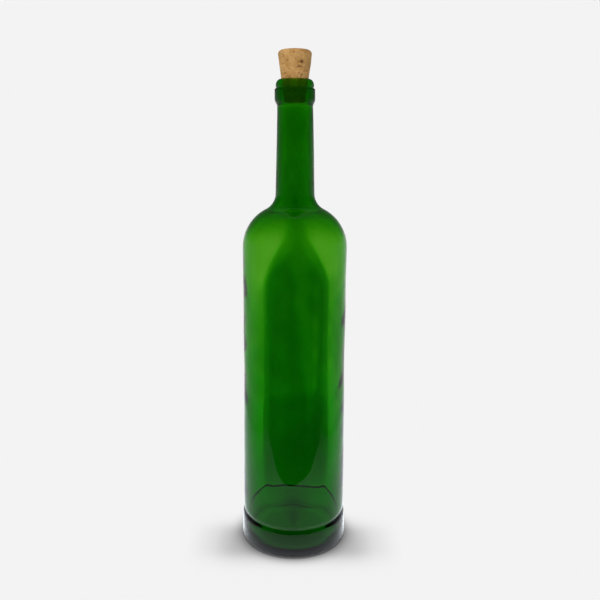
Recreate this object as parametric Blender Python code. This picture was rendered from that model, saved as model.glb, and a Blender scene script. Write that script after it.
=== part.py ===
"""Tall glass bottle with a slightly domed base and a tapered cork in its mouth.

Units are metres, +Z is up. The origin is at the centre of the circle that the foot stands on.
Both pieces are turned shapes: each is one half profile, spun round the Z axis.
"""
import math

import bmesh
import bpy

# ---- driving dimensions: bottle, outside -------------------------------------------------
LIP_TOP = 0.3292            # height of the glass
BEAD_RADIUS = 0.0128        # small ring round the very top
BEAD_ROUND = (0.0029, 0.0040)   # half width and height of the bead's rounded top
BEAD_FOOT = 0.3243          # upright part of the bead ends here
NOTCH_HEIGHT = 0.3236       # crease between bead and band
NOTCH_RADIUS = 0.01250
BAND_RADIUS = 0.01360       # wide collar below the bead
BAND_CORNER = 0.0007
BAND_TOP = 0.3225           # upright part of the band ends here
BAND_UNDER = (0.3118, 0.3160)   # the band runs into the neck between these heights

NECK_TOP_RADIUS = 0.01205
NECK_FOOT_RADIUS = 0.01345
SHOULDER_ROUND = 0.0295     # the shoulder, a round arc that leaves the body upright
SHOULDER_START = 0.2170
NECK_FILLET = 0.0120        # hollow curve between shoulder and neck

BODY_TOP_RADIUS = 0.03630
BODY_WAIST_RADIUS = 0.03618
BODY_FOOT_RADIUS = 0.03702
WAIST_HEIGHT = 0.1500
BODY_FOOT_HEIGHT = 0.0300

GROOVE_EDGE = 0.0224        # where the body turns into the groove above the foot ring
GROOVE_TOP = 0.0218
GROOVE_FOOT = 0.0212
GROOVE_DEPTH = 0.0004
RING_TOP_HEIGHT = 0.0180    # the ring's upper side slopes from the groove down to here
RING_TOP_RADIUS = 0.03764
RING_MIDDLE_HEIGHT = 0.0086
RING_MIDDLE_RADIUS = 0.03803
RING_RADIUS = 0.03830       # widest, just above the heel
HEEL_ROUND = 0.0026

# ---- driving dimensions: bottle, inside and underneath ------------------------------------
WALL = 0.0033               # side wall
FOOT_WALL = 0.0035          # the wall thickens towards the base
FOOT_WALL_HEIGHT = 0.0500   # where that starts
BORE_RADIUS = 0.00940       # mouth and upper neck
BORE_END = 0.3000           # below this the bore widens with the neck
MOUTH_ROUND = 0.0005
FOOT_INNER_RADIUS = 0.0318  # the bottle stands on the flat between this circle and the heel
PUNT_DEPTH = 0.0050         # the push-up under the base
FLOOR_PEAK = 0.0085         # top of the same dome, inside
FLOOR_LEVEL = 0.0058        # level that the inside dome falls towards
FLOOR_RADIUS = 0.0310
FLOOR_END = 0.0304          # the gutter starts here
GUTTER_ROUND = 0.0020
DOME_POWER = 2.4

# ---- driving dimensions: cork -------------------------------------------------------------
CORK_BOTTOM = 0.3170
CORK_TOP = 0.3479
CORK_RADIUS_AT_LIP = 0.00910
CORK_TAPER = 0.1345         # growth of the radius for each metre of height
CORK_TOP_ROUND = 0.0024
CORK_FOOT_ROUND = 0.0008
CORK_DOME = 0.0003

# ---- fineness -----------------------------------------------------------------------------
GLASS_STEPS = 48            # faces round the bottle
CORK_STEPS = 32
WELD = 0.000002


def arc(centre, radius, start, end, steps):
    """Points on an arc, angles in degrees from +X, radius a number or a pair of half axes."""
    across, up = radius if isinstance(radius, tuple) else (radius, radius)
    points = []
    for i in range(steps + 1):
        angle = math.radians(start + (end - start) * i / steps)
        points.append((centre[0] + across * math.cos(angle), centre[1] + up * math.sin(angle)))
    return points


def ease(value):
    """0 to 1 with level ends."""
    value = min(max(value, 0.0), 1.0)
    return value * value * (3.0 - 2.0 * value)


def body_radius(z):
    """Outside of the body: narrowest at the waist, widening a little towards the foot."""
    if z >= WAIST_HEIGHT:
        share = ease((z - WAIST_HEIGHT) / (SHOULDER_START - WAIST_HEIGHT))
        return BODY_WAIST_RADIUS + (BODY_TOP_RADIUS - BODY_WAIST_RADIUS) * share
    share = ease((WAIST_HEIGHT - z) / (WAIST_HEIGHT - BODY_FOOT_HEIGHT))
    return BODY_WAIST_RADIUS + (BODY_FOOT_RADIUS - BODY_WAIST_RADIUS) * share


def wall_at(z):
    """Thickness of the side wall."""
    share = ease((FOOT_WALL_HEIGHT - z) / FOOT_WALL_HEIGHT)
    return WALL + (FOOT_WALL - WALL) * share


def heights(start, end, count):
    """Evenly spaced heights, both ends included."""
    return [start + (end - start) * i / (count - 1) for i in range(count)]


def shoulder_centres():
    """Centres of the shoulder's arc and of the fillet that touches it, and their common angle."""
    shoulder = (BODY_TOP_RADIUS - SHOULDER_ROUND, SHOULDER_START)
    fillet_x = NECK_FOOT_RADIUS + NECK_FILLET
    reach = SHOULDER_ROUND + NECK_FILLET
    rise = math.sqrt(reach ** 2 - (fillet_x - shoulder[0]) ** 2)
    fillet = (fillet_x, shoulder[1] + rise)
    return shoulder, fillet, math.degrees(math.atan2(rise, fillet_x - shoulder[0]))


def outer_profile():
    """The outside, from the top of the lip down to the heel."""
    shoulder, fillet, touch = shoulder_centres()
    bead_centre = (BEAD_RADIUS - BEAD_ROUND[0], LIP_TOP - BEAD_ROUND[1])
    points = arc(bead_centre, BEAD_ROUND, 90, 0, 6)
    points.append((BEAD_RADIUS, BEAD_FOOT))
    points.append((NOTCH_RADIUS, NOTCH_HEIGHT))
    corner = (BAND_RADIUS - BAND_CORNER, BAND_TOP)
    points += arc(corner, BAND_CORNER, 80, 0, 3)
    low, high = BAND_UNDER
    for z in heights(high, low, 5):
        share = ease((z - low) / (high - low))
        points.append((NECK_TOP_RADIUS + (BAND_RADIUS - NECK_TOP_RADIUS) * share, z))
    for z in heights(low, fillet[1], 4)[1:-1]:
        share = (low - z) / (low - fillet[1])
        points.append((NECK_TOP_RADIUS + (NECK_FOOT_RADIUS - NECK_TOP_RADIUS) * share, z))
    points += arc(fillet, NECK_FILLET, 180, 180 + touch, 5)
    points += arc(shoulder, SHOULDER_ROUND, touch, 0, 8)[1:]
    points += [(body_radius(z), z) for z in heights(SHOULDER_START, BODY_FOOT_HEIGHT, 8)[1:]]
    points.append((BODY_FOOT_RADIUS, GROOVE_EDGE))
    groove_floor = BODY_FOOT_RADIUS - GROOVE_DEPTH
    points += [(groove_floor, GROOVE_TOP), (groove_floor, GROOVE_FOOT)]
    points.append((RING_TOP_RADIUS, RING_TOP_HEIGHT))
    points.append((RING_MIDDLE_RADIUS, RING_MIDDLE_HEIGHT))
    points += arc((RING_RADIUS - HEEL_ROUND, HEEL_ROUND), HEEL_ROUND, 0, -90, 5)
    return points


def punt_profile():
    """The underside, from the inner edge of the foot's flat up to the peak of the push-up."""
    points = [(FOOT_INNER_RADIUS, 0.0)]
    for share in (0.97, 0.91, 0.82, 0.70, 0.56, 0.40, 0.20):
        points.append((FOOT_INNER_RADIUS * share, PUNT_DEPTH * (1.0 - share ** DOME_POWER)))
    points.append((0.0, PUNT_DEPTH))
    return points


def floor_height(radius):
    """Inside of the push-up."""
    fall = (radius / FLOOR_RADIUS) ** DOME_POWER
    return FLOOR_LEVEL + (FLOOR_PEAK - FLOOR_LEVEL) * (1.0 - fall)


def inner_profile():
    """The inside, from the peak of the floor's dome up to the mouth."""
    shoulder, fillet, touch = shoulder_centres()
    points = [(0.0, FLOOR_PEAK)]
    for share in (0.22, 0.42, 0.59, 0.74, 0.88, 1.0):
        points.append((FLOOR_END * share, floor_height(FLOOR_END * share)))
    slope = math.atan2(floor_height(FLOOR_END) - floor_height(FLOOR_END - WELD), WELD)
    gutter_height = floor_height(FLOOR_END) + GUTTER_ROUND * math.cos(slope)
    gutter = (FLOOR_END - GUTTER_ROUND * math.sin(slope), gutter_height)
    points += arc(gutter, GUTTER_ROUND, math.degrees(slope) - 90, 0, 5)[1:]
    for z in heights(gutter[1], SHOULDER_START, 7)[1:]:
        points.append((body_radius(z) - wall_at(z), z))
    points += arc(shoulder, SHOULDER_ROUND - WALL, 0, touch, 6)[1:]
    points += arc(fillet, NECK_FILLET + WALL, 180 + touch, 180, 5)[1:]
    points.append((BORE_RADIUS, BORE_END))
    points.append((BORE_RADIUS, CORK_BOTTOM))
    points += arc((BORE_RADIUS + MOUTH_ROUND, LIP_TOP - MOUTH_ROUND), MOUTH_ROUND, 180, 90, 2)
    return points


def cork_radius(z):
    return CORK_RADIUS_AT_LIP + CORK_TAPER * (z - LIP_TOP)


def cork_profile():
    """The cork from the middle of its top, over the rounded edge and down the taper."""
    side_top = CORK_TOP - CORK_DOME - CORK_TOP_ROUND
    side_bottom = CORK_BOTTOM + CORK_FOOT_ROUND
    top_flat = cork_radius(side_top) - CORK_TOP_ROUND
    bottom_flat = cork_radius(side_bottom) - CORK_FOOT_ROUND
    points = [(0.0, CORK_TOP)]
    points += arc((top_flat, side_top), CORK_TOP_ROUND, 90, 0, 5)
    points += [(cork_radius(z), z) for z in heights(side_top, side_bottom, 5)[1:]]
    points += arc((bottom_flat, side_bottom), CORK_FOOT_ROUND, -30, -90, 2)
    points.append((0.0, CORK_BOTTOM))
    return points


def turned(name, profile, steps, material):
    """Spin a half profile, which starts and ends on the axis, into a closed solid."""
    bm = bmesh.new()
    corners = [bm.verts.new((x, 0.0, z)) for x, z in profile]
    edges = [bm.edges.new(pair) for pair in zip(corners, corners[1:])]
    bmesh.ops.spin(bm, geom=corners + edges, cent=(0, 0, 0), axis=(0, 0, 1),
                   angle=math.tau, steps=steps, use_merge=True, use_duplicate=False)
    bmesh.ops.remove_doubles(bm, verts=bm.verts, dist=WELD)
    bmesh.ops.recalc_face_normals(bm, faces=bm.faces)
    mesh = bpy.data.meshes.new(name)
    bm.to_mesh(mesh)
    bm.free()
    mesh.shade_smooth()
    mesh.set_sharp_from_angle(angle=math.radians(50))
    mesh.materials.append(material)
    piece = bpy.data.objects.new(name, mesh)
    bpy.context.scene.collection.objects.link(piece)
    return piece


def finish(name, colour, roughness, metallic=0.0, transmission=0.0):
    """A plain material: colour, roughness and, for glass, light passing through."""
    material = bpy.data.materials.new(name)
    material.use_nodes = True
    shader = material.node_tree.nodes["Principled BSDF"]
    shader.inputs["Base Color"].default_value = (*colour, 1.0)
    shader.inputs["Roughness"].default_value = roughness
    shader.inputs["Metallic"].default_value = metallic
    shader.inputs["Transmission Weight"].default_value = transmission
    material.diffuse_color = (*colour, 1.0)
    return material


def make_bottle():
    profile = inner_profile() + outer_profile() + punt_profile()
    glass = finish("green_glass", (0.02, 0.22, 0.03), 0.03, transmission=1.0)
    return turned("bottle", profile, GLASS_STEPS, glass)


def make_cork():
    bark = finish("cork_bark", (0.56, 0.32, 0.13), 0.85)
    return turned("cork", cork_profile(), CORK_STEPS, bark)


def main():
    for old in list(bpy.data.objects):
        bpy.data.objects.remove(old, do_unlink=True)
    make_bottle()
    make_cork()


main()
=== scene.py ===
"""Finish of a tall green glass bottle with a cork in its mouth.

The file is laid out as an add-on and is run as a script. Everything is in metres, +Z is up, and
the origin is at the centre of the circle that the bottle stands on.
"""

import math

import bpy
import numpy as np
from mathutils import Euler, Matrix, Vector


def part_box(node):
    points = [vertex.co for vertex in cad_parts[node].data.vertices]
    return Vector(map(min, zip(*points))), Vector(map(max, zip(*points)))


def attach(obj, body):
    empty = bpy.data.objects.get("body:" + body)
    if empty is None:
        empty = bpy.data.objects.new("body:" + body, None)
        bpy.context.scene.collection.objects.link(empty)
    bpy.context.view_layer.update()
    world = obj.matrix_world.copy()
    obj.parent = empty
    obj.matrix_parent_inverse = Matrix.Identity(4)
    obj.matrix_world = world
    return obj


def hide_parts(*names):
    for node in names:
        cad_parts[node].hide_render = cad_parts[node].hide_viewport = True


bl_info = {
    "name": "Corked Glass Bottle",
    "version": (1, 0, 0),
    "blender": (4, 5, 0),
    "location": "View3D > Sidebar > Bottle",
    "description": "Makes the wavy glass, the cork and a small studio round them",
    "category": "Object",
}

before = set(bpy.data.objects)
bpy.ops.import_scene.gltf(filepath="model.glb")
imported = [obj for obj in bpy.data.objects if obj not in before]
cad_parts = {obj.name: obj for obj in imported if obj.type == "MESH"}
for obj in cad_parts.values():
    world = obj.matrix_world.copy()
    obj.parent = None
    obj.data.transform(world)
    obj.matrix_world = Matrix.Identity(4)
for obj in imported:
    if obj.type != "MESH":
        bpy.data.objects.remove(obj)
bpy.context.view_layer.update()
CORK_LOW, CORK_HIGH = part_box("cork")
ROOT = "root"

# The top of the glass, from the frame
LIP_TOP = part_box("bottle")[1].z


# ---- properties ---------------------------------------------------------------------------
class GlassSettings(bpy.types.PropertyGroup):
    """Sizes and colour of the glass"""

    wall: bpy.props.FloatProperty(
        name="Wall", description="Thickness of the side wall", default=0.0033,
        min=0.001, max=0.006, subtype="DISTANCE", unit="LENGTH")
    wall_swing: bpy.props.FloatProperty(
        name="Wall swing", description="How much the wall's thickness varies round the bottle",
        default=0.0009, min=0.0, max=0.002, subtype="DISTANCE", unit="LENGTH")
    ripple: bpy.props.FloatProperty(
        name="Ripple", description="Depth of the slow waves in the glass", default=0.00016,
        min=0.0, max=0.001, subtype="DISTANCE", unit="LENGTH")
    punt_depth: bpy.props.FloatProperty(
        name="Push-up", description="Depth of the dome under the base", default=0.0043,
        min=0.0, max=0.05, subtype="DISTANCE", unit="LENGTH")
    tint: bpy.props.FloatVectorProperty(
        name="Tint", description="Light left over by one unit of density", size=3,
        subtype="COLOR", default=(0.45, 0.80, 0.02), min=0.0, max=1.0)
    density: bpy.props.FloatProperty(
        name="Density", description="Strength of the tint for each metre of glass",
        default=1170.0, min=0.0, max=3000.0)


class CorkSettings(bpy.types.PropertyGroup):
    """Sizes and colours of the cork"""

    taper: bpy.props.FloatProperty(
        name="Taper", description="Growth of the radius for each metre of height",
        default=0.1345, min=0.0, max=0.4)
    bark: bpy.props.FloatVectorProperty(
        name="Bark", description="Main colour of the cork", size=3, subtype="COLOR",
        default=(0.56, 0.29, 0.085), min=0.0, max=1.0)
    pale: bpy.props.FloatVectorProperty(
        name="Pale grain", description="Colour of the lightest grain", size=3, subtype="COLOR",
        default=(0.74, 0.43, 0.155), min=0.0, max=1.0)
    rust: bpy.props.FloatVectorProperty(
        name="Rust", description="Colour of the warm brown flecks", size=3, subtype="COLOR",
        default=(0.40, 0.185, 0.045), min=0.0, max=1.0)
    # Also the colour of the painted shade in the pits, reached where they are deepest
    pit: bpy.props.FloatVectorProperty(
        name="Pits", description="Colour inside the pits", size=3, subtype="COLOR",
        default=(0.16, 0.065, 0.018), min=0.0, max=1.0)


class StageSettings(bpy.types.PropertyGroup):
    """Camera, table and light"""

    distance: bpy.props.FloatProperty(
        name="Distance", description="From the camera to the bottle's axis", default=0.447,
        subtype="DISTANCE", unit="LENGTH")
    height: bpy.props.FloatProperty(
        name="Height", description="Height of the camera", default=0.278,
        subtype="DISTANCE", unit="LENGTH")
    backdrop: bpy.props.FloatVectorProperty(
        name="Backdrop", description="Colour of the room and the open table", size=3,
        subtype="COLOR", default=(0.896, 0.896, 0.896), min=0.0, max=1.0)
    ambient: bpy.props.FloatVectorProperty(
        name="Ambient", description="Light that falls on matt surfaces from all sides", size=3,
        subtype="COLOR", default=(0.55, 0.55, 0.55), min=0.0, max=1.0)
    ambient_inside: bpy.props.FloatVectorProperty(
        name="Ambient inside", description="The same for what is seen through the glass", size=3,
        subtype="COLOR", default=(3.5, 1.6, 2.0), min=0.0, max=10.0)
    table_front: bpy.props.FloatProperty(
        name="Table front", description="Front edge of the table", default=-0.140,
        subtype="DISTANCE", unit="LENGTH")
    table_back: bpy.props.FloatProperty(
        name="Table back", description="Back edge of the table", default=0.270,
        subtype="DISTANCE", unit="LENGTH")
    table_half_width: bpy.props.FloatProperty(
        name="Table half width", description="From the middle to either end", default=0.25,
        subtype="DISTANCE", unit="LENGTH")


# ---- curves and surfaces ------------------------------------------------------------------
def arc(centre, radius, start, end, steps):
    """Points on an arc, angles in degrees from +X, radius a number or a pair of half axes."""
    across, up = radius if isinstance(radius, tuple) else (radius, radius)
    angles = np.radians(np.linspace(start, end, steps + 1))
    return list(zip(centre[0] + across * np.cos(angles), centre[1] + up * np.sin(angles)))


def ease(value):
    """0 to 1 with level ends."""
    value = np.clip(value, 0.0, 1.0)
    return value * value * (3.0 - 2.0 * value)


def rising(z, start, length):
    """0 up to the start, 1 from a length above it."""
    return ease((z - start) / length)


def falling(z, end, length):
    """1 up to a length below the end, 0 from the end on."""
    return ease((end - z) / length)


def between(low, high, share):
    """The value at a share of the way from low to high."""
    return low + (high - low) * share


# The turned form. The outside has the solid part's sizes but for the groove and the top of the
# ring under it, which differ by up to 0.5 mm; the floor and the push-up differ by up to 1.2 mm.
BEAD = {"radius": 0.0128, "round": (0.0029, 0.0040), "foot": 0.3243}
NOTCH = (0.01250, 0.3236)
BAND = {"radius": 0.01360, "corner": 0.0007, "top": 0.3225, "under": (0.3118, 0.3160)}
NECK = (0.01205, 0.01345)
SHOULDER = {"round": 0.0295, "start": 0.2170, "fillet": 0.0120}
BODY = {"top": 0.03630, "waist": 0.03618, "foot": 0.03702, "waist_z": 0.150, "foot_z": 0.030}
GROOVE = {"edge": 0.0224, "top": 0.0216, "foot": 0.0207, "depth": 0.0004}
RING = {"top": (0.03764, 0.0185), "middle": (0.03803, 0.0086), "radius": 0.03830, "heel": 0.0026}
INSIDE = {"bore": 0.0094, "bore_end": 0.300, "mouth": 0.0005, "foot_wall": 0.0002, "foot_z": 0.05}
FLOOR = {"peak": 0.0085, "level": 0.0046, "radius": 0.0310, "end": 0.0304, "gutter": 0.0020}
FOOT_INNER_RADIUS = 0.0318
DOME_POWER = 2.4


def body_radius(z):
    """Outer radius of the body, narrowest at its waist."""
    up = ease((z - BODY["waist_z"]) / (SHOULDER["start"] - BODY["waist_z"]))
    down = ease((BODY["waist_z"] - z) / (BODY["waist_z"] - BODY["foot_z"]))
    return (BODY["waist"] + (BODY["top"] - BODY["waist"]) * up
            + (BODY["foot"] - BODY["waist"]) * down)


def shoulder_centres():
    """Centres of the shoulder's round and of the fillet above it, and the angle where they touch."""
    shoulder = (BODY["top"] - SHOULDER["round"], SHOULDER["start"])
    fillet_x = NECK[1] + SHOULDER["fillet"]
    reach = SHOULDER["round"] + SHOULDER["fillet"]
    rise = math.sqrt(reach ** 2 - (fillet_x - shoulder[0]) ** 2)
    touch = math.degrees(math.atan2(rise, fillet_x - shoulder[0]))
    return shoulder, (fillet_x, shoulder[1] + rise), touch


def outer_profile():
    """The outside from the lip down to the heel, as radius and height."""
    shoulder, fillet, touch = shoulder_centres()
    bead_centre = (BEAD["radius"] - BEAD["round"][0], LIP_TOP - BEAD["round"][1])
    points = arc(bead_centre, BEAD["round"], 90, 0, 14)
    points += [(BEAD["radius"], z) for z in np.linspace(bead_centre[1], BEAD["foot"], 4)[1:]]
    points += arc((NOTCH[0] + 0.0005, NOTCH[1]), 0.0005, 140, 220, 5)
    points += arc((BAND["radius"] - BAND["corner"], BAND["top"]), BAND["corner"], 80, 0, 7)
    low, high = BAND["under"]
    for z in np.linspace(BAND["top"], high, 9)[1:-1]:
        points.append((BAND["radius"], z))
    for z in np.linspace(high, low, 16):
        points.append((between(NECK[0], BAND["radius"], ease((z - low) / (high - low))), z))
    for z in np.linspace(low, fillet[1], 34)[1:-1]:
        points.append((between(NECK[0], NECK[1], (low - z) / (low - fillet[1])), z))
    points += arc(fillet, SHOULDER["fillet"], 180, 180 + touch, 20)
    points += arc(shoulder, SHOULDER["round"], touch, 0, 36)[1:]
    points += [(body_radius(z), z) for z in np.linspace(SHOULDER["start"], GROOVE["edge"], 110)[1:]]
    floor = BODY["foot"] - GROOVE["depth"]
    points.append((floor, GROOVE["top"]))
    for share in np.linspace(0, 1, 9):
        points.append((between(floor, RING["top"][0], share),
                       between(GROOVE["foot"], RING["top"][1], share)))
    for share in np.linspace(0, 1, 5)[1:]:
        points.append((between(RING["top"][0], RING["middle"][0], share),
                       between(RING["top"][1], RING["middle"][1], share)))
    for share in np.linspace(0, 1, 4)[1:-1]:
        points.append((between(RING["middle"][0], RING["radius"], share),
                       between(RING["middle"][1], RING["heel"], share)))
    points += arc((RING["radius"] - RING["heel"], RING["heel"]), RING["heel"], 0, -90, 12)
    return points


def punt_profile(depth):
    """The underside from the heel in to the axis."""
    points = [(between(RING["radius"] - RING["heel"], FOOT_INNER_RADIUS, s), 0.0) for s in (0.4, 0.8)]
    for share in np.linspace(1.0, 0.0, 44):
        points.append((FOOT_INNER_RADIUS * share, depth * (1.0 - share ** DOME_POWER)))
    return points


def inner_profile(wall):
    """The inside from the floor up to the mouth."""
    shoulder, fillet, touch = shoulder_centres()

    def floor_height(radius):
        fall = (radius / FLOOR["radius"]) ** DOME_POWER
        return FLOOR["level"] + (FLOOR["peak"] - FLOOR["level"]) * (1.0 - fall)

    points = [(FLOOR["end"] * s, floor_height(FLOOR["end"] * s)) for s in np.linspace(0, 1, 38)]
    step = 1e-6
    slope = math.atan2(floor_height(FLOOR["end"]) - floor_height(FLOOR["end"] - step), step)
    gutter_round = FLOOR["gutter"]
    gutter = (FLOOR["end"] - gutter_round * math.sin(slope),
              floor_height(FLOOR["end"]) + gutter_round * math.cos(slope))
    points += arc(gutter, gutter_round, math.degrees(slope) - 90, 0, 14)[1:]
    for z in np.linspace(gutter[1], SHOULDER["start"], 110)[1:]:
        thick = wall + INSIDE["foot_wall"] * ease((INSIDE["foot_z"] - z) / INSIDE["foot_z"])
        points.append((body_radius(z) - thick, z))
    points += arc(shoulder, SHOULDER["round"] - wall, 0, touch, 34)[1:]
    points += arc(fillet, SHOULDER["fillet"] + wall, 180 + touch, 180, 20)[1:]
    for share in np.linspace(0, 1, 26)[1:]:
        points.append((between(fillet[0] - SHOULDER["fillet"] - wall, INSIDE["bore"], share),
                       between(fillet[1], INSIDE["bore_end"], share)))
    rim = INSIDE["mouth"]
    points += [(INSIDE["bore"], z) for z in np.linspace(INSIDE["bore_end"], LIP_TOP - rim, 16)[1:-1]]
    points += arc((INSIDE["bore"] + rim, LIP_TOP - rim), rim, 180, 90, 5)
    return points[1:]


def turned_mesh(name, profile, steps, shape):
    """Spin a half profile whose two ends lie on the axis. shape moves the points: it takes their
    radii, heights and angles and gives x, y, z."""
    rows = np.array(profile, float)
    angles = np.linspace(0.0, math.tau, steps, endpoint=False)
    radius = np.repeat(rows[:, :1], steps, 1)
    height = np.repeat(rows[:, 1:2], steps, 1)
    angle = np.repeat(angles[None, :], len(rows), 0)
    x, y, z = shape(radius, height, angle)
    body = np.stack([x, y, z], -1)[1:-1].reshape(-1, 3)
    poles = np.array([[x[0].mean(), 0.0, z[0].mean()], [x[-1].mean(), 0.0, z[-1].mean()]])
    points = np.concatenate([body, poles])
    count = len(rows) - 2
    first, last = count * steps, count * steps + 1
    faces = []
    for i in range(count - 1):
        low, high = i * steps, (i + 1) * steps
        for j in range(steps):
            k = (j + 1) % steps
            faces.append((low + j, high + j, high + k, low + k))
    end = (count - 1) * steps
    for j in range(steps):
        k = (j + 1) % steps
        faces.append((first, j, k))
        faces.append((last, end + k, end + j))
    mesh = bpy.data.meshes.new(name)
    mesh.from_pydata(points.tolist(), [], faces)
    mesh.update()
    return mesh


def add_piece(name, mesh, material):
    """Put a smooth mesh with its material in the scene."""
    mesh.shade_smooth()
    mesh.materials.append(material)
    piece = bpy.data.objects.new(name, mesh)
    bpy.context.scene.collection.objects.link(piece)
    return piece


# ---- shader nodes -------------------------------------------------------------------------
def math_node(tree, operation, *values):
    """A Math node whose inputs are numbers or sockets; gives its output."""
    node = tree.nodes.new("ShaderNodeMath")
    node.operation = operation
    for socket, value in zip(node.inputs, values):
        if isinstance(value, (int, float)):
            socket.default_value = value
        else:
            tree.links.new(value, socket)
    return node.outputs[0]


def scaled_colour(tree, colour, strength):
    """A colour, given as numbers or a socket, times a strength."""
    node = tree.nodes.new("ShaderNodeVectorMath")
    node.operation = "SCALE"
    if isinstance(colour, bpy.types.NodeSocket):
        tree.links.new(colour, node.inputs[0])
    else:
        node.inputs[0].default_value = colour
    tree.links.new(strength, node.inputs["Scale"])
    return node.outputs[0]


def ramp_node(tree, value, stops, kind="B_SPLINE"):
    """A grey Color Ramp; stops are pairs of place and brightness."""
    node = tree.nodes.new("ShaderNodeValToRGB")
    ramp = node.color_ramp
    ramp.interpolation = kind
    while len(ramp.elements) < len(stops):
        ramp.elements.new(0.5)
    for element, (place, level) in zip(ramp.elements, stops):
        element.position = place
        element.color = (level, level, level, 1.0)
    tree.links.new(value, node.inputs["Fac"])
    return node.outputs["Color"]


def mixed(tree, factor, first, second, kind="RGBA"):
    """A Mix node between two sockets or, in an RGBA one, colours; gives its output."""
    node = tree.nodes.new("ShaderNodeMix")
    node.data_type = kind
    tree.links.new(factor, node.inputs["Factor"])
    for name, value in (("A", first), ("B", second)):
        if isinstance(value, bpy.types.NodeSocket):
            tree.links.new(value, node.inputs[name])
        else:
            node.inputs[name].default_value = (*value, 1.0)
    return node.outputs["Result"]


def new_material(name):
    """A material with its tree, shader and output."""
    material = bpy.data.materials.new(name)
    material.use_nodes = True
    tree = material.node_tree
    return material, tree, tree.nodes["Principled BSDF"], tree.nodes["Material Output"]


# The fine noise's scale over the coarse one's, its share, and the detail of both
MOTTLE = {"finer": 3.7, "fine_share": 0.35, "detail": (3.0, 4.0)}


def mottle_group():
    """Soft irregular patches: a mask between two levels, from two sizes of noise."""
    found = bpy.data.node_groups.get("Mottle")
    if found:
        return found
    group = bpy.data.node_groups.new("Mottle", "ShaderNodeTree")
    for name, kind, value in (("Vector", "NodeSocketVector", None), ("Scale", "NodeSocketFloat", 60.0),
                              ("Low", "NodeSocketFloat", 0.4), ("High", "NodeSocketFloat", 0.6)):
        socket = group.interface.new_socket(name, in_out="INPUT", socket_type=kind)
        if value is not None:
            socket.default_value = value
    group.interface.new_socket("Mask", in_out="OUTPUT", socket_type="NodeSocketFloat")
    nodes, links = group.nodes, group.links
    start, end = nodes.new("NodeGroupInput"), nodes.new("NodeGroupOutput")
    coarse, fine = nodes.new("ShaderNodeTexNoise"), nodes.new("ShaderNodeTexNoise")
    finer = nodes.new("ShaderNodeMath")
    finer.operation = "MULTIPLY"
    finer.inputs[1].default_value = MOTTLE["finer"]
    blend = nodes.new("ShaderNodeMix")
    blend.inputs["Factor"].default_value = MOTTLE["fine_share"]
    levels = nodes.new("ShaderNodeMapRange")
    levels.interpolation_type = "SMOOTHSTEP"
    coarse.inputs["Detail"].default_value = MOTTLE["detail"][0]
    fine.inputs["Detail"].default_value = MOTTLE["detail"][1]
    links.new(start.outputs["Vector"], coarse.inputs["Vector"])
    links.new(start.outputs["Vector"], fine.inputs["Vector"])
    links.new(start.outputs["Scale"], coarse.inputs["Scale"])
    links.new(start.outputs["Scale"], finer.inputs[0])
    links.new(finer.outputs[0], fine.inputs["Scale"])
    links.new(coarse.outputs["Fac"], blend.inputs["A"])
    links.new(fine.outputs["Fac"], blend.inputs["B"])
    links.new(blend.outputs["Result"], levels.inputs["Value"])
    links.new(start.outputs["Low"], levels.inputs["From Min"])
    links.new(start.outputs["High"], levels.inputs["From Max"])
    links.new(levels.outputs["Result"], end.inputs["Mask"])
    return group


GLASS_IOR = 1.52
GLASS_VIEWPORT = (0.02, 0.25, 0.04, 1.0)


def glass_material(settings):
    """Clear glass whose colour comes from the light it takes up along the way."""
    material, tree, shader, output = new_material("wavy_green_glass")
    shader.inputs["Base Color"].default_value = (1.0, 1.0, 1.0, 1.0)
    shader.inputs["Roughness"].default_value = 0.0
    shader.inputs["IOR"].default_value = GLASS_IOR
    shader.inputs["Transmission Weight"].default_value = 1.0
    inside = tree.nodes.new("ShaderNodeVolumeAbsorption")
    inside.inputs["Color"].default_value = (*settings.tint, 1.0)
    inside.inputs["Density"].default_value = settings.density
    tree.links.new(inside.outputs["Volume"], output.inputs["Volume"])
    material.diffuse_color = GLASS_VIEWPORT
    return material


# Patches of the cork: noise scale, and the levels between which the mask rises
GRAIN = (180.0, 0.38, 0.62)
WARM_PATCHES = (420.0, 0.54, 0.66)
FLECKS = (700.0, 0.60, 0.68)
FLECK_STRETCH = (1.0, 1.0, 2.2)
ROUGH_SKIN = (520.0, 0.35, 0.65)
CORK_BUMP = {"strength": 0.5, "height": 0.0003}
CORK_ROUGHNESS = 0.85


def cork_material(settings):
    """Tan cork: patches of bark and pale grain, warm patches, dark flecks, and painted shade in the pits
    that darkens with their depth.
    """
    material, tree, shader, output = new_material("dry_cork")
    nodes, links = tree.nodes, tree.links
    place, pits = nodes.new("ShaderNodeTexCoord"), nodes.new("ShaderNodeAttribute")
    pits.attribute_name = "pit"

    def mottle(scale, low, high, stretch=(1.0, 1.0, 1.0)):
        spread, grain = nodes.new("ShaderNodeMapping"), nodes.new("ShaderNodeGroup")
        spread.inputs["Scale"].default_value = stretch
        grain.node_tree = mottle_group()
        grain.inputs["Scale"].default_value = scale
        grain.inputs["Low"].default_value = low
        grain.inputs["High"].default_value = high
        links.new(place.outputs["Object"], spread.inputs["Vector"])
        links.new(spread.outputs["Vector"], grain.inputs["Vector"])
        return grain.outputs["Mask"]

    tan = mixed(tree, mottle(*GRAIN), settings.bark, settings.pale)
    warm = mixed(tree, mottle(*WARM_PATCHES), tan, settings.rust)
    flecked = mixed(tree, mottle(*FLECKS, FLECK_STRETCH), warm, settings.pit)
    # Painted shade: the pits darken towards the pit colour the deeper they are
    links.new(mixed(tree, pits.outputs["Fac"], flecked, settings.pit), shader.inputs["Base Color"])
    bump = nodes.new("ShaderNodeBump")
    bump.inputs["Strength"].default_value = CORK_BUMP["strength"]
    bump.inputs["Distance"].default_value = CORK_BUMP["height"]
    links.new(mottle(*ROUGH_SKIN), bump.inputs["Height"])
    links.new(bump.outputs["Normal"], shader.inputs["Normal"])
    shader.inputs["Roughness"].default_value = CORK_ROUGHNESS
    return material


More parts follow.
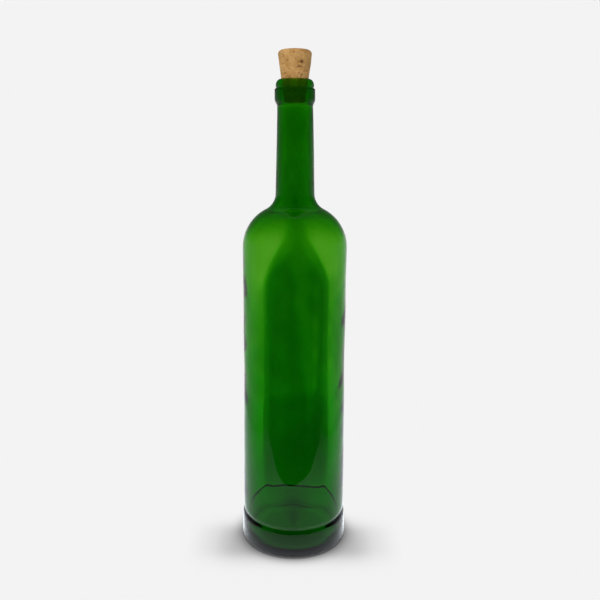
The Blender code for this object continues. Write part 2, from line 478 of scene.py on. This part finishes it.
# ---- pieces -------------------------------------------------------------------------------
def waves(count, lengths, turns, seed):
    """Slow waves round and along the bottle, from -1 to 1 or so, as a function of angle and height."""
    draw = np.random.RandomState(seed)
    parts = []
    for _ in range(count):
        parts.append((draw.randint(turns[0], turns[1] + 1), draw.uniform(*lengths) * draw.choice((-1, 1)),
                      draw.uniform(0.0, math.tau), draw.uniform(0.5, 1.0)))
    total = math.sqrt(sum(part[3] ** 2 for part in parts) / 2.0)

    def height_of(angle, z):
        field = np.zeros_like(angle)
        for turn, length, phase, weight in parts:
            field += weight * np.sin(turn * (math.pi - angle) + math.tau * z / length + phase)
        return field / (2.0 * total)
    return height_of


def lobes(angle, half_width, power=2.0, aside=0.0):
    """1 along the front and the back, falling to 0 towards both sides; aside moves both to +X."""
    away = np.degrees(np.arcsin(np.clip(np.abs(np.cos(angle) - aside), 0.0, 1.0)))
    return np.exp(-(away / half_width) ** power)


# Changes of the wall's thickness. What starts or ends does so at a height, over a length.
HEAVY_LOBE = {"half_width": (12.0, 34.5), "widens": (0.224, 0.030), "power": (2.0, 9.0),
              "sharpens": (0.225, 0.030), "aside": 0.035, "weaker": 0.45, "weakens": (0.190, 0.045)}
THIN_SHOULDER = {"less": 0.0007, "starts": (0.160, 0.040), "ends": (0.238, 0.016)}
BODY_ENDS = (0.262, 0.030)
NECK_WALL = {"more": 0.0006, "front_more": 0.0010, "half_width": 45.0, "starts": (0.236, 0.011),
             "ends": (0.3165, 0.009), "weaker": 0.3, "weak_starts": (0.244, 0.02),
             "weak_ends": (0.300, 0.020)}
HEAVY_FRONT = {"more": 0.0009, "starts": (0.05, 0.03), "ends": (0.124, 0.014)}
SLOW_WAVES = {"count": 9, "lengths": (0.07, 0.20), "turns": (1, 5), "seed": 4}
SLOW_SHARE = 0.35
STREAKS = {"count": 12, "lengths": (0.12, 0.5), "turns": (4, 12), "seed": 58}
STREAKS_START = (0.05, 0.04)
STREAK_SHARE = 0.55
STILL_SHOULDER = {"less": 0.9, "starts": (0.185, 0.03)}


def heavy_lobe(angle, z):
    """Where the wall is heavy: a broad band up the front and the back, narrow at the shoulder."""
    half_width = between(*HEAVY_LOBE["half_width"], falling(z, *HEAVY_LOBE["widens"]))
    power = between(*HEAVY_LOBE["power"], falling(z, *HEAVY_LOBE["sharpens"]))
    lobe = lobes(angle, half_width, power, HEAVY_LOBE["aside"])
    return lobe * (1.0 - HEAVY_LOBE["weaker"] * rising(z, *HEAVY_LOBE["weakens"]))


def neck_wall(angle, z):
    """How much thicker the neck's wall is than its mean, most at the front and the back."""
    share = rising(z, *NECK_WALL["starts"]) * falling(z, *NECK_WALL["ends"])
    weak = NECK_WALL["weaker"] * falling(z, *NECK_WALL["weak_ends"])
    share *= 1.0 - weak * rising(z, *NECK_WALL["weak_starts"])
    return (NECK_WALL["more"] + NECK_WALL["front_more"] * lobes(angle, NECK_WALL["half_width"])) * share


def wall_change(settings, angle, z):
    """How much thicker the wall is than its mean: heavy front, thin quarters and thin shoulder."""
    swing = settings.wall_swing
    lobe = heavy_lobe(angle, z)
    thin = rising(z, *THIN_SHOULDER["starts"]) * falling(z, *THIN_SHOULDER["ends"])
    body = falling(z, *BODY_ENDS)
    change = (swing * (2.0 * lobe - 1.0) - THIN_SHOULDER["less"] * thin * (1.0 - lobe)) * body
    change += neck_wall(angle, z)
    front = HEAVY_FRONT["more"] * (lobe * (np.sin(angle) < 0.0))
    change += front * falling(z, *HEAVY_FRONT["ends"]) * rising(z, *HEAVY_FRONT["starts"])
    slow = waves(**SLOW_WAVES)(angle, z)
    streaks = waves(**STREAKS)(angle, z) * rising(z, *STREAKS_START)
    calm = 1.0 - STILL_SHOULDER["less"] * rising(z, *STILL_SHOULDER["starts"])
    return change + swing * (SLOW_SHARE * slow + STREAK_SHARE * streaks * lobe) * body * calm


MOUTH_SHIFT = {"across": -0.0004, "starts": (0.300, 0.022)}


def mouth_shift(z):
    """The mouth stands a hair to the left of the axis."""
    return MOUTH_SHIFT["across"] * rising(z, *MOUTH_SHIFT["starts"])


# Waves in both faces of the glass, and where they come and go
COARSE_RIPPLE = {"count": 10, "lengths": (0.05, 0.16), "turns": (1, 5), "seed": 11}
FINE_RIPPLE = {"count": 14, "lengths": (0.018, 0.045), "turns": (2, 9), "seed": 23}
INNER_FINE_RIPPLE = {**FINE_RIPPLE, "seed": 37}
FINE_SHARE, INNER_FINE_SHARE = 0.45, 0.9
RIPPLE_STARTS, RIPPLE_ENDS = (0.026, 0.012), (0.300, 0.010)
CALM_SHOULDER = {"less": 0.85, "starts": (0.195, 0.02), "ends": (0.262, 0.01)}
CALM_FOOT = {"less": 0.55, "ends": (0.12, 0.04)}
CHANGE_STARTS = (0.03, 0.05)
AXIS_REACH = 0.03               # the outer waves fade towards the axis within this radius
SIDE_STARTS = (0.0085, 0.001)   # inner points nearer to the axis than this belong to the floor


def glass_shape(settings, outer_from):
    """Gives the function that puts waves in the turned form; rows from outer_from are outside."""
    coarse = waves(**COARSE_RIPPLE)
    fine = waves(**FINE_RIPPLE)
    inner_fine = waves(**INNER_FINE_RIPPLE)

    def shape(radius, height, angle):
        rows = np.arange(radius.shape[0])[:, None] * np.ones_like(angle)
        outside = rows >= outer_from
        body = rising(height, *RIPPLE_STARTS) * (1.0 - rising(height, *RIPPLE_ENDS))
        shoulder = CALM_SHOULDER["less"] * rising(height, *CALM_SHOULDER["starts"])
        calm = 1.0 - shoulder * falling(height, *CALM_SHOULDER["ends"])
        calm -= CALM_FOOT["less"] * falling(height, *CALM_FOOT["ends"])
        broad, size = coarse(angle, height), settings.ripple * calm
        outer = size * (broad + FINE_SHARE * fine(angle, height))
        inner = size * (broad + INNER_FINE_SHARE * inner_fine(angle, height))
        change = wall_change(settings, angle, height) * rising(height, *CHANGE_STARTS)
        inner = (inner * body - change) * rising(radius, *SIDE_STARTS)
        reach = radius + np.where(outside, outer * body * ease(radius / AXIS_REACH), inner)
        return reach * np.cos(angle) + mouth_shift(height), reach * np.sin(angle), height
    return shape


GLASS_STEPS = 160


def make_glass(settings):
    """The bottle's wavy glass, closed round its hollow."""
    inside = [(0.0, FLOOR["peak"])] + inner_profile(settings.wall)
    profile = inside + outer_profile() + punt_profile(settings.punt_depth)
    mesh = turned_mesh("wavy_glass", profile, GLASS_STEPS, glass_shape(settings, len(inside)))
    piece = add_piece("wavy_glass", mesh, glass_material(settings))
    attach(piece, ROOT)
    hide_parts("bottle")
    return piece


# Pits in the cork's side: angle from +X in degrees, height, half width, half height and depth
CORK_PITS = ((-64.0, 0.3392, 0.0014, 0.0009, 0.0007), (-73.0, 0.3363, 0.0016, 0.0006, 0.0005),
             (-60.0, 0.3312, 0.0008, 0.0006, 0.0005), (-118.0, 0.3400, 0.0008, 0.0005, 0.0004))


# The scatter of small ones, and the lobes of a pit's outline: count, size and shift
SMALL_PITS = {"count": 46, "seed": 8, "below_top": 0.002, "half_width": (0.0003, 0.0009),
              "half_height": (0.0002, 0.0005), "depth": (0.00012, 0.0003)}
PIT_LOBES = ((3.0, 0.24, 1.0), (5.0, 0.12, 2.0))


def pit_field(radius, angle, z):
    """Depth of the pits in the cork's side: the stated ones and a scatter of small ones."""
    draw = np.random.RandomState(SMALL_PITS["seed"])
    pits = list(CORK_PITS)
    for _ in range(SMALL_PITS["count"]):
        pits.append((draw.uniform(-180.0, 180.0),
                     draw.uniform(CORK_LOW.z, CORK_HIGH.z - SMALL_PITS["below_top"]),
                     draw.uniform(*SMALL_PITS["half_width"]), draw.uniform(*SMALL_PITS["half_height"]),
                     draw.uniform(*SMALL_PITS["depth"])))
    field = np.zeros_like(z)
    for where, height, half_width, half_height, depth in pits:
        turn = (angle - math.radians(where) + math.pi) % math.tau - math.pi
        across, along = turn * radius / half_width, (z - height) / half_height
        way = np.arctan2(along, across)
        uneven = 1.0
        for count, size, shift in PIT_LOBES:
            uneven = uneven + size * np.sin(count * way + shift * where)
        field += depth * np.exp(-(np.hypot(across, along) / uneven) ** 2.0)
    return field


# One of these sizes is the pit depth at which the painted shade in a pit is at its darkest
CORK = {"lip_radius": 0.0091, "edge": 0.0024, "foot": 0.0008, "dome": 0.0003, "flat_share": 0.8,
        "steps": 240, "pit_shade_depth": 0.0006}
CORK_WAVES = {"count": 16, "lengths": (0.006, 0.03), "turns": (2, 9), "seed": 3}
CORK_SWELL = {"size": 0.00009, "starts": 0.002}
TOP_RISE = {"size": 0.00012, "band": 0.001, "from_axis": 0.002, "stretch": 2.0}
# Where the pits begin and the top's unevenness ends, and over what length, as shares of the
# radius of the flat top
PITS_START = (0.7, 0.3)
TOP_END = (0.6, 0.4)


def cork_side(settings, z):
    """Radius of the tapered side."""
    return CORK["lip_radius"] + settings.taper * (z - LIP_TOP)


def cork_profile(settings, flat):
    """The cork from the middle of its top, round the edge and down to the middle of its foot."""
    bottom, top = CORK_LOW.z, CORK_HIGH.z
    edge, foot, dome = CORK["edge"], CORK["foot"], CORK["dome"]
    points = [(flat * s, top - dome * s * s) for s in np.linspace(0.0, 1.0, 24)[:-1]]
    points += arc((flat, top - edge - dome), edge, 90, 0, 16)
    points += [(cork_side(settings, z), z) for z in np.linspace(top - edge - dome, bottom + foot, 110)[1:]]
    points += arc((cork_side(settings, bottom + foot) - foot, bottom + foot), foot, -10, -90, 5)
    width = cork_side(settings, bottom)
    points += [(width * s * CORK["flat_share"], bottom) for s in (0.8, 0.5, 0.2)]
    return points + [(0.0, bottom)]


def cork_shape(flat):
    """Gives the function that puts pits and a slight unevenness in the turned form."""
    top = CORK_HIGH.z
    uneven = waves(**CORK_WAVES)

    def shape(radius, height, angle):
        dent = pit_field(radius, angle, height) * rising(radius, PITS_START[0] * flat, PITS_START[1] * flat)
        above = ease((height - LIP_TOP) / CORK_SWELL["starts"])
        swell = CORK_SWELL["size"] * uneven(angle, height) * ease(radius / flat) * above
        reach = radius - dent + swell
        on_top = 1.0 - rising(radius, TOP_END[0] * flat, TOP_END[1] * flat)
        rise = TOP_RISE["size"] * uneven(angle, radius * TOP_RISE["stretch"]) * on_top
        rise = rise * (height > top - TOP_RISE["band"])
        across = reach * np.cos(angle) + mouth_shift(LIP_TOP)
        up = height - np.abs(rise) * ease(radius / TOP_RISE["from_axis"])
        return across, reach * np.sin(angle), up
    return shape


def mark_pit_shade(mesh, points, steps):
    """Keep on the mesh, for the material, the painted shade of the pits, darker the deeper they are; the
    two poles have none.
    """
    rows = np.array(points)[1:-1]
    angles = np.linspace(0.0, math.tau, steps, endpoint=False)[None, :]
    radius, angle, z = np.broadcast_arrays(rows[:, :1], angles, rows[:, 1:])
    shade = np.clip(pit_field(radius, angle, z) / CORK["pit_shade_depth"], 0.0, 1.0)
    shade = np.concatenate([shade.ravel(), (0.0, 0.0)])
    mesh.attributes.new("pit", "FLOAT", "POINT").data.foreach_set("value", shade.astype(np.float32))


def make_cork(settings):
    """The tapered cork, upright in the mouth."""
    flat = cork_side(settings, CORK_HIGH.z - CORK["dome"] - CORK["edge"]) - CORK["edge"]
    points = cork_profile(settings, flat)
    mesh = turned_mesh("natural_cork", points, CORK["steps"], cork_shape(flat))
    # Painted shade in the pits, for the material
    mark_pit_shade(mesh, points, CORK["steps"])
    piece = add_piece("natural_cork", mesh, cork_material(settings))
    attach(piece, ROOT)
    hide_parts("cork")
    return piece


# ---- stage --------------------------------------------------------------------------------
SENSOR_WIDTH = 36.0             # millimetres
PITCH = math.radians(11.17)
FOCAL_SHARE = 644.0 / 600.0     # focal length over picture width
AXIS_SHARE = 5.4 / 600.0        # the bottle stands this far left of the middle
CENTRE_SHARE = 15.0 / 600.0     # the optical axis meets the picture this far above its middle
ROLL = math.radians(0.26)
TABLE_DROP = 0.0001             # the table lies this far under the bottle


def make_camera(settings):
    """In front of the bottle, a little above its shoulder, looking slightly down."""
    data = bpy.data.cameras.new("bottle_camera")
    data.sensor_width = SENSOR_WIDTH
    data.lens = SENSOR_WIDTH * FOCAL_SHARE
    data.shift_x = AXIS_SHARE
    data.shift_y = -CENTRE_SHARE
    camera = bpy.data.objects.new("bottle_camera", data)
    camera.location = (0.0, -settings.distance, settings.height)
    turn = Euler((math.pi / 2 - PITCH, 0.0, 0.0), "XYZ").to_matrix()
    camera.rotation_euler = (turn @ Matrix.Rotation(ROLL, 3, "Z")).to_euler()
    bpy.context.scene.collection.objects.link(camera)
    bpy.context.scene.camera = camera


# What the glass shows. Brightness of the room against the angle away from the backdrop, as a
# share of a half turn, seen through the glass and mirrored in it
ROOM_THROUGH = ((0.0, 0.78), (0.02, 0.80), (0.06, 0.95), (0.13, 1.0), (0.25, 0.9), (0.40, 0.5),
                (0.52, 0.25), (0.70, 0.22))
ROOM_MIRRORED = ((0.0, 0.9), (0.10, 0.75), (0.22, 0.45), (0.32, 0.27), (0.46, 0.16), (0.54, 0.04),
                 (0.75, 0.01))
# Painted light and shade of the table against the same angle: seen through the glass, a painted shadow
# straight behind the bottle, bright towards the sides and dim towards the front; mirrored in it, brightest
# behind and dim in front
TABLE_THROUGH_LIGHT_AND_SHADE = ((0.0, 0.42), (0.05, 0.42), (0.14, 0.85), (0.5, 0.85), (0.7, 0.4))
TABLE_MIRRORED_LIGHT_AND_SHADE = ((0.0, 1.1), (0.3, 1.0), (0.5, 0.7), (0.62, 0.37), (1.0, 0.37))
# Painted light and shade of the table against the distance from the axis, over the near reach: a painted
# shadow under the bottle and a painted ring of bright light round its foot
NEAR_REACH = 0.2
NEAR_LIGHT_AND_SHADE = ((0.0, 0.50), (0.12, 0.50), (0.15, 1.5), (0.22, 2.1), (0.33, 1.2), (0.5, 1.0))
NEAR_MIRRORED_LIGHT_AND_SHADE = ((0.0, 0.3), (0.180, 0.4), (0.192, 2.0), (0.215, 2.8), (0.25, 1.7), (0.36, 1.05))
# How far the table has merged into the room, against the distance over that of its back edge,
# and for the mirrored one against the distance aside over its half width
MERGE_STOPS = ((0.0, 0.0), (0.45, 0.0), (1.0, 1.0))
ASIDE_STOPS = ((0.0, 0.0), (0.35, 0.0), (0.9, 1.0), (1.0, 1.0))
TABLE_TINT = (0.85, 0.90, 0.94)
# Share that is left of the room, and where its low tint ends, against height from 0 (straight
# down) to 1 (straight up)
THROUGH_ABOVE = ((0.0, 1.0), (0.5, 1.0), (0.62, 0.9), (0.80, 0.6), (1.0, 0.4))
MIRRORED_ABOVE = ((0.0, 1.0), (0.5, 1.0), (0.56, 0.25), (0.70, 0.06), (0.90, 0.10), (1.0, 0.25))
BELOW_TINT = (0.33, 1.0, 0.95)
BELOW_STOPS = ((0.0, 0.0), (0.31, 0.0), (0.40, 1.0), (1.0, 1.0))


def half_turn(tree, split):
    """Angle of a separated vector away from +Y, as a share of a half turn."""
    turn = math_node(tree, "ARCTAN2", split.outputs["X"], split.outputs["Y"])
    return math_node(tree, "DIVIDE", math_node(tree, "ABSOLUTE", turn), math.pi)


def room_behind(tree, split):
    """Brightness of the room in the direction of a separated vector, as seen through the glass."""
    return ramp_node(tree, half_turn(tree, split), ROOM_THROUGH)


# Depth of the shade beside the bottle, against the distance across and along over its reach,
# and the light left next to the foot against the openness of the floor
SHADE_MIDDLE = -0.016
SHADE_REACH = 0.08
SHADE_ACROSS = ((0.0, 0.60), (0.38, 0.58), (0.54, 0.47), (0.63, 0.34), (0.72, 0.20), (0.86, 0.07),
                (0.97, 0.0))
SHADE_ALONG = ((0.0, 1.0), (0.12, 0.94), (0.19, 0.78), (0.25, 0.50), (0.31, 0.27), (0.38, 0.10),
               (0.46, 0.02), (0.54, 0.0))
CONTACT = {"reach": 0.012, "samples": 12}
CONTACT_STOPS = ((0.40, 0.15), (0.62, 0.60), (0.80, 0.88), (0.96, 1.0))


def floor_shade(tree, split, across):
    """Light left on the open floor: a soft pool of shade, and a tight one next to the foot."""
    along = math_node(tree, "ABSOLUTE", math_node(tree, "SUBTRACT", split.outputs["Y"], SHADE_MIDDLE))
    depth = math_node(tree, "MULTIPLY",
                      ramp_node(tree, math_node(tree, "DIVIDE", across, SHADE_REACH), SHADE_ACROSS),
                      ramp_node(tree, math_node(tree, "DIVIDE", along, SHADE_REACH), SHADE_ALONG))
    contact = tree.nodes.new("ShaderNodeAmbientOcclusion")
    contact.inputs["Distance"].default_value = CONTACT["reach"]
    contact.samples = CONTACT["samples"]
    tight = ramp_node(tree, contact.outputs["AO"], CONTACT_STOPS, "LINEAR")
    return math_node(tree, "MULTIPLY", math_node(tree, "SUBTRACT", 1.0, depth), tight)


def painted_table_through(tree, split, radius, settings):
    """Painted light and shade of the table as seen through the glass."""
    near = ramp_node(tree, math_node(tree, "DIVIDE", radius, NEAR_REACH), NEAR_LIGHT_AND_SHADE)
    far = math_node(tree, "DIVIDE", radius, settings.table_back)
    table = math_node(tree, "MULTIPLY", near, ramp_node(tree, half_turn(tree, split), TABLE_THROUGH_LIGHT_AND_SHADE))
    return mixed(tree, ramp_node(tree, far, MERGE_STOPS), table, room_behind(tree, split), "FLOAT")


def painted_table_mirrored(tree, split, radius, across, settings):
    """Painted light and shade of the table as mirrored in the glass, where the bright ring by the foot
    gives the heel a painted highlight.
    """
    near = ramp_node(tree, math_node(tree, "DIVIDE", radius, NEAR_REACH), NEAR_MIRRORED_LIGHT_AND_SHADE, "LINEAR")
    aside = math_node(tree, "DIVIDE", across, settings.table_half_width)
    table = math_node(tree, "MULTIPLY", near, ramp_node(tree, half_turn(tree, split), TABLE_MIRRORED_LIGHT_AND_SHADE))
    room = ramp_node(tree, half_turn(tree, split), ROOM_MIRRORED)
    return mixed(tree, ramp_node(tree, aside, ASIDE_STOPS), table, room, "FLOAT")


def floor_material(settings):
    """Pale and even for the camera, with a painted soft shade; for the glass, the table it stands on,
    glowing with painted light and shade.
    """
    material = bpy.data.materials.new("pale_floor")
    material.use_nodes = True
    tree = material.node_tree
    nodes, links = tree.nodes, tree.links
    nodes.clear()
    output, path = nodes.new("ShaderNodeOutputMaterial"), nodes.new("ShaderNodeLightPath")
    place, split = nodes.new("ShaderNodeTexCoord"), nodes.new("ShaderNodeSeparateXYZ")
    links.new(place.outputs["Object"], split.inputs[0])
    across = math_node(tree, "ABSOLUTE", split.outputs["X"])
    radius = math_node(tree, "SQRT", math_node(tree, "ADD",
                       math_node(tree, "MULTIPLY", split.outputs["X"], split.outputs["X"]),
                       math_node(tree, "MULTIPLY", split.outputs["Y"], split.outputs["Y"])))
    # What the glass shows of the table is painted light and shade, set as a glow
    through = painted_table_through(tree, split, radius, settings)
    mirrored = painted_table_mirrored(tree, split, radius, across, settings)
    in_glass = mixed(tree, path.outputs["Is Reflection Ray"], scaled_colour(tree, BELOW_TINT, through),
                     scaled_colour(tree, TABLE_TINT, mirrored))
    open_floor = scaled_colour(tree, settings.backdrop, floor_shade(tree, split, across))
    mix = nodes.new("ShaderNodeMixShader")
    links.new(path.outputs["Is Camera Ray"], mix.inputs["Fac"])
    for place_in_mix, colour in ((1, in_glass), (2, open_floor)):
        glow = nodes.new("ShaderNodeEmission")
        links.new(colour, glow.inputs["Color"])
        links.new(glow.outputs[0], mix.inputs[place_in_mix])
    links.new(mix.outputs[0], output.inputs["Surface"])
    return material


def make_floor(settings):
    """The table top, just under the bottle."""
    wide, front, back = settings.table_half_width, settings.table_front, settings.table_back
    corners = [(-wide, front), (wide, front), (wide, back), (-wide, back)]
    mesh = bpy.data.meshes.new("pale_floor")
    mesh.from_pydata([(x, y, -TABLE_DROP) for x, y in corners], [], [(0, 1, 2, 3)])
    floor = bpy.data.objects.new("pale_floor", mesh)
    mesh.materials.append(floor_material(settings))
    bpy.context.scene.collection.objects.link(floor)


WHITE = (1.0, 1.0, 1.0)


def room_light(tree, split, path):
    """What the glass shows of the room: one brightness seen through it, another mirrored."""
    level = math_node(tree, "MULTIPLY_ADD", split.outputs["Z"], 0.5, 0.5)
    through = math_node(tree, "MULTIPLY", room_behind(tree, split),
                        ramp_node(tree, level, THROUGH_ABOVE))
    mirrored = math_node(tree, "MULTIPLY", ramp_node(tree, half_turn(tree, split), ROOM_MIRRORED),
                         ramp_node(tree, level, MIRRORED_ABOVE))
    low_tint = mixed(tree, ramp_node(tree, level, BELOW_STOPS), BELOW_TINT, WHITE)
    return mixed(tree, path.outputs["Is Reflection Ray"], scaled_colour(tree, low_tint, through), mirrored)


def matt_light(tree, path, settings):
    """What falls on matt surfaces, stronger for those that are seen through the glass."""
    inside = math_node(tree, "GREATER_THAN", path.outputs["Transmission Depth"], 0.5)
    return mixed(tree, inside, settings.ambient, settings.ambient_inside)


def make_world(settings):
    """One colour for the camera; for the glass, a room that changes with direction."""
    world = bpy.data.worlds.new("studio")
    bpy.context.scene.world = world
    world.use_nodes = True
    tree = world.node_tree
    nodes, links = tree.nodes, tree.links
    nodes.clear()
    output, path = nodes.new("ShaderNodeOutputWorld"), nodes.new("ShaderNodeLightPath")
    seen, lit = nodes.new("ShaderNodeBackground"), nodes.new("ShaderNodeBackground")
    mix = nodes.new("ShaderNodeMixShader")
    seen.inputs["Color"].default_value = (*settings.backdrop, 1.0)
    place, split = nodes.new("ShaderNodeTexCoord"), nodes.new("ShaderNodeSeparateXYZ")
    links.new(place.outputs["Generated"], split.inputs[0])
    on_matt = math_node(tree, "GREATER_THAN", path.outputs["Diffuse Depth"], 0.5)
    light = mixed(tree, on_matt, room_light(tree, split, path), matt_light(tree, path, settings))
    links.new(light, lit.inputs["Color"])
    links.new(path.outputs["Is Camera Ray"], mix.inputs["Fac"])
    links.new(lit.outputs[0], mix.inputs[1])
    links.new(seen.outputs[0], mix.inputs[2])
    links.new(mix.outputs[0], output.inputs["Surface"])


SOFTBOX = {"place": (-0.5, -1.1, 0.9), "target": (0.0, 0.0, 0.33), "side": 0.7, "power": 6.0}


def make_lights():
    """One square softbox to the left of the camera, kept out of the glass."""
    data = bpy.data.lights.new("front_softbox", "AREA")
    data.shape = "RECTANGLE"
    data.size = SOFTBOX["side"]
    data.size_y = SOFTBOX["side"]
    data.energy = SOFTBOX["power"]
    lamp = bpy.data.objects.new("front_softbox", data)
    lamp.location = SOFTBOX["place"]
    aim = Vector(SOFTBOX["target"]) - Vector(SOFTBOX["place"])
    lamp.rotation_euler = aim.to_track_quat("-Z", "Y").to_euler()
    lamp.visible_glossy = False
    lamp.visible_transmission = False
    lamp.visible_camera = False
    bpy.context.scene.collection.objects.link(lamp)


def set_look():
    """Plain colours, and enough bounces for two walls of glass and the cork behind them."""
    scene = bpy.context.scene
    scene.view_settings.view_transform = "Standard"
    scene.view_settings.look = "None"
    cycles = scene.cycles
    cycles.max_bounces = 32
    cycles.transmission_bounces = 28
    cycles.glossy_bounces = 16
    cycles.diffuse_bounces = 3
    cycles.transparent_max_bounces = 16
    cycles.caustics_reflective = False
    cycles.caustics_refractive = True
    cycles.use_denoising = True
    cycles.denoising_input_passes = "RGB"


# ---- operators ----------------------------------------------------------------------------
class BOTTLE_OT_glass(bpy.types.Operator):
    """Make the wavy glass of the bottle"""

    bl_idname = "bottle.glass"
    bl_label = "Glass"

    def execute(self, context):
        make_glass(context.scene.bottle_glass)
        return {"FINISHED"}


class BOTTLE_OT_cork(bpy.types.Operator):
    """Make the tapered cork"""

    bl_idname = "bottle.cork"
    bl_label = "Cork"

    def execute(self, context):
        make_cork(context.scene.bottle_cork)
        return {"FINISHED"}


class BOTTLE_OT_stage(bpy.types.Operator):
    """Make the camera, floor, room and lights"""

    bl_idname = "bottle.stage"
    bl_label = "Stage"

    def execute(self, context):
        settings = context.scene.bottle_stage
        make_camera(settings)
        make_floor(settings)
        make_world(settings)
        make_lights()
        set_look()
        return {"FINISHED"}


class BOTTLE_PT_panel(bpy.types.Panel):
    """Lists the steps and their sizes"""

    bl_idname = "BOTTLE_PT_panel"
    bl_label = "Corked Bottle"
    bl_space_type = "VIEW_3D"
    bl_region_type = "UI"
    bl_category = "Bottle"

    def draw(self, context):
        for operator, group in STEPS:
            box = self.layout.box()
            settings = getattr(context.scene, group)
            for name in settings.__annotations__:
                box.prop(settings, name)
            box.operator(operator)


STEPS = (("bottle.glass", "bottle_glass"), ("bottle.cork", "bottle_cork"), ("bottle.stage", "bottle_stage"))
GROUPS = {"bottle_glass": GlassSettings, "bottle_cork": CorkSettings, "bottle_stage": StageSettings}
CLASSES = (*GROUPS.values(), BOTTLE_OT_glass, BOTTLE_OT_cork, BOTTLE_OT_stage, BOTTLE_PT_panel)


def register():
    """Register the classes and hang their settings on the scene."""
    for cls in CLASSES:
        bpy.utils.register_class(cls)
    for name, cls in GROUPS.items():
        setattr(bpy.types.Scene, name, bpy.props.PointerProperty(type=cls))


def unregister():
    """Take them off again, in the other order."""
    for name in GROUPS:
        delattr(bpy.types.Scene, name)
    for cls in reversed(CLASSES):
        bpy.utils.unregister_class(cls)


def main():
    """Make everything."""
    register()
    bpy.ops.bottle.stage()
    bpy.ops.bottle.glass()
    bpy.ops.bottle.cork()


if __name__ == "__main__":
    main()
